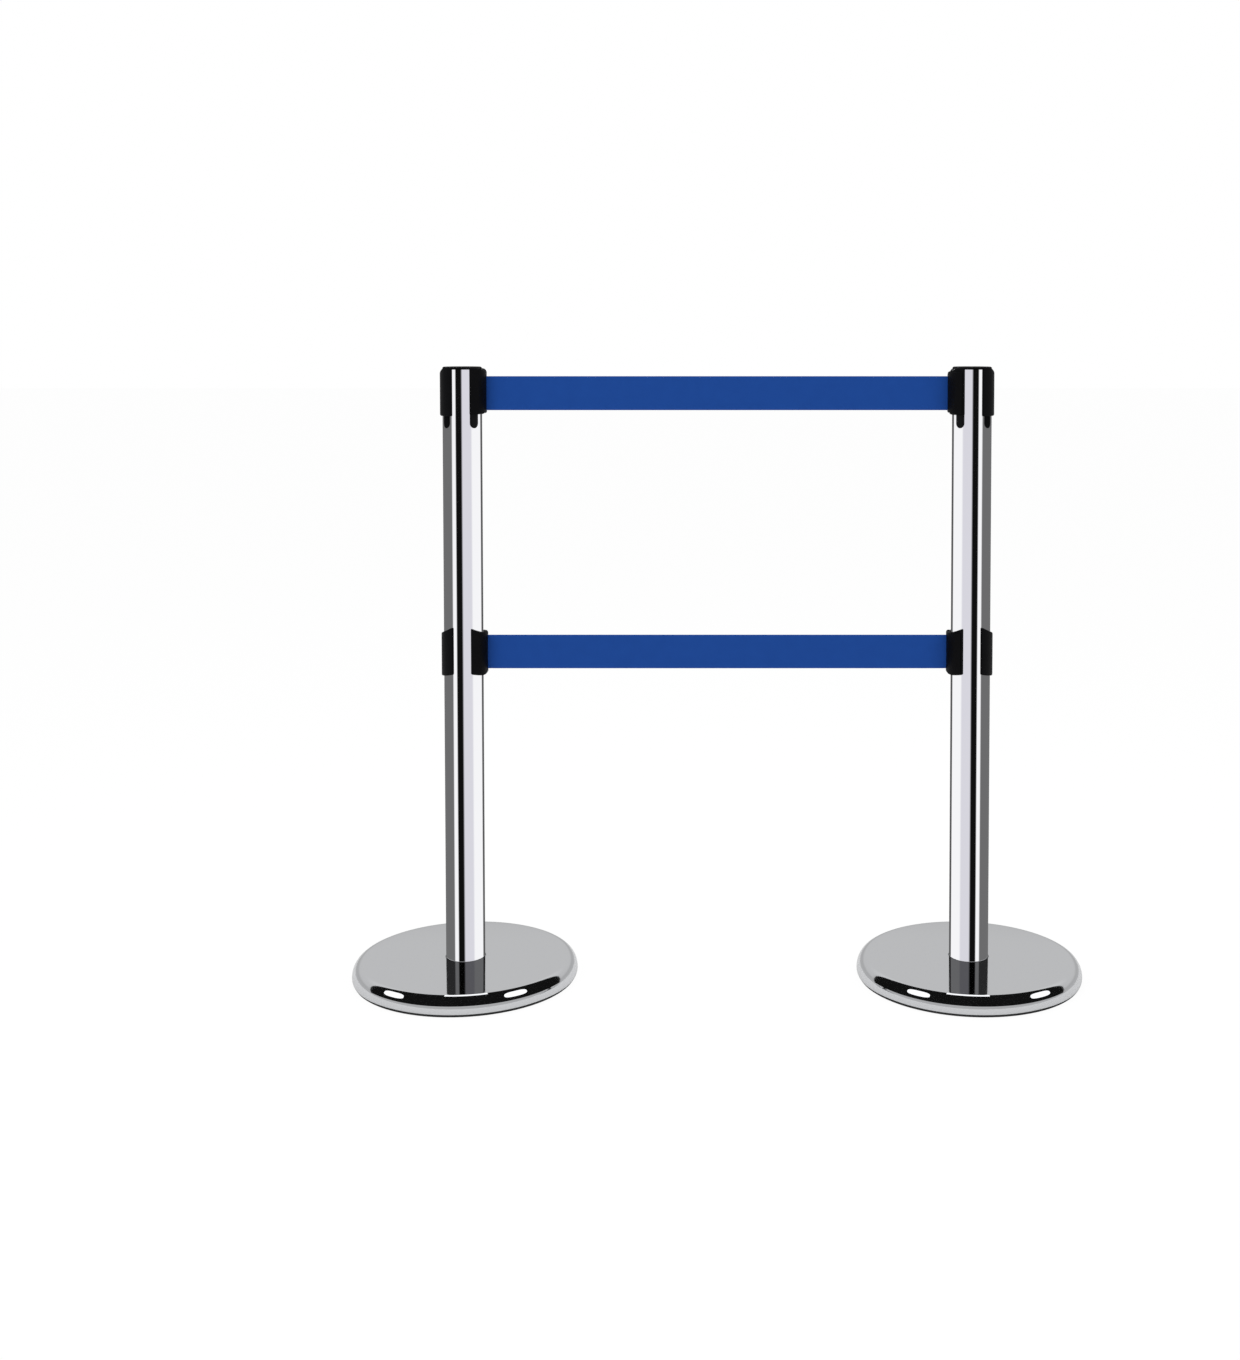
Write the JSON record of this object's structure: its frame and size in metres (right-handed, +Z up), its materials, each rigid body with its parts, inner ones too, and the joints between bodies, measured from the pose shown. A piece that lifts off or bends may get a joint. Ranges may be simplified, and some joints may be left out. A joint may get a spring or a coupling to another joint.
{
  "type": "retractable belt stanchion",
  "caption": "Weighted polished posts joined by spring-wound belts at the head and half way down, each belt's clip held in a slotted receiver",
  "frame": {"origin": "on the floor, half way between the two posts' axes", "axes": "+X from the belt post to the receiver post, +Y to the rear, +Z up"},
  "size_m": [1.191, 0.366, 1],
  "materials": {
    "chrome": "polished bright steel, mirror finish",
    "cast_iron": "rough casting, dark grey",
    "black_rubber": "matt black",
    "zinc_steel": "zinc plated, satin",
    "black_plastic": "fine moulded texture, black",
    "grey_plastic": "plain moulding, grey",
    "spring_steel": "blued strip",
    "blue_webbing": "close woven polyester webbing, royal blue"
  },
  "bodies": {
    "left_post": {"left_floor_ring": "black_rubber", "left_base_weight": "cast_iron", "left_base_cover": "chrome", "left_foot_washer": "zinc_steel", "left_foot_bolt": "zinc_steel", "left_foot_plug": "zinc_steel", "left_post_tube": "chrome", "left_lid": "black_plastic", "left_lid_screw": "zinc_steel", "left_top_housing_front": "black_plastic", "left_top_housing_rear": "black_plastic", "left_top_spindle": "zinc_steel", "left_top_spring_cover": "zinc_steel", "left_top_guide_pin": "zinc_steel", "left_top_power_spring": "spring_steel", "left_top_outlet_bezel": "black_plastic", "left_top_outer_bezel": "black_plastic", "left_mid_housing_front": "grey_plastic", "left_mid_housing_rear": "grey_plastic", "left_mid_spindle": "zinc_steel", "left_mid_spring_cover": "zinc_steel", "left_mid_guide_pin": "zinc_steel", "left_mid_power_spring": "spring_steel", "left_mid_outlet_bezel": "black_plastic", "left_mid_outer_bezel": "black_plastic", "top_belt": "blue_webbing", "mid_belt": "blue_webbing"},
    "right_post": {"right_floor_ring": "black_rubber", "right_base_weight": "cast_iron", "right_base_cover": "chrome", "right_foot_washer": "zinc_steel", "right_foot_bolt": "zinc_steel", "right_foot_plug": "zinc_steel", "right_post_tube": "chrome", "right_lid": "black_plastic", "right_lid_screw": "zinc_steel", "right_top_receiver_core": "black_plastic", "right_top_inner_bezel": "black_plastic", "right_top_outer_bezel": "black_plastic", "right_mid_receiver_core": "black_plastic", "right_mid_inner_bezel": "black_plastic", "right_mid_outer_bezel": "black_plastic"},
    "top_reel": {"left_top_spool": "grey_plastic", "left_top_belt_coil": "blue_webbing"},
    "top_clip": {"top_clip_body": "black_plastic", "top_clip_cap": "black_plastic", "top_belt_pin": "zinc_steel"},
    "mid_reel": {"left_mid_spool": "grey_plastic", "left_mid_belt_coil": "blue_webbing"},
    "mid_clip": {"mid_clip_body": "black_plastic", "mid_clip_cap": "black_plastic", "mid_belt_pin": "zinc_steel"}
  },
  "joints": [
    {"name": "post_spread", "type": "slide", "parent": "left_post", "child": "right_post", "axis": [1, 0, 0], "range_m": [-0.45, 1.15], "deforming": ["top_belt", "mid_belt"]},
    {"name": "top_spool_turn", "type": "hinge", "parent": "left_post", "child": "top_reel", "pos_m": [-0.4125, 0, 0.957], "axis": [0, 0, 1], "continuous": true},
    {"name": "mid_spool_turn", "type": "hinge", "parent": "left_post", "child": "mid_reel", "pos_m": [-0.4125, 0, 0.536], "axis": [0, 0, 1], "continuous": true},
    {"name": "top_clip_lift", "type": "slide", "parent": "right_post", "child": "top_clip", "axis": [0, 0, 1], "range_m": [0, 0.075], "deforming": ["top_belt"]},
    {"name": "mid_clip_lift", "type": "slide", "parent": "right_post", "child": "mid_clip", "axis": [0, 0, 1], "range_m": [0, 0.075], "deforming": ["mid_belt"]}
  ],
  "couplings": [
    {"joint": "top_spool_turn", "follows": "post_spread", "rad_per_m": -56.8},
    {"joint": "mid_spool_turn", "follows": "post_spread", "rad_per_m": -56.8}
  ]
}
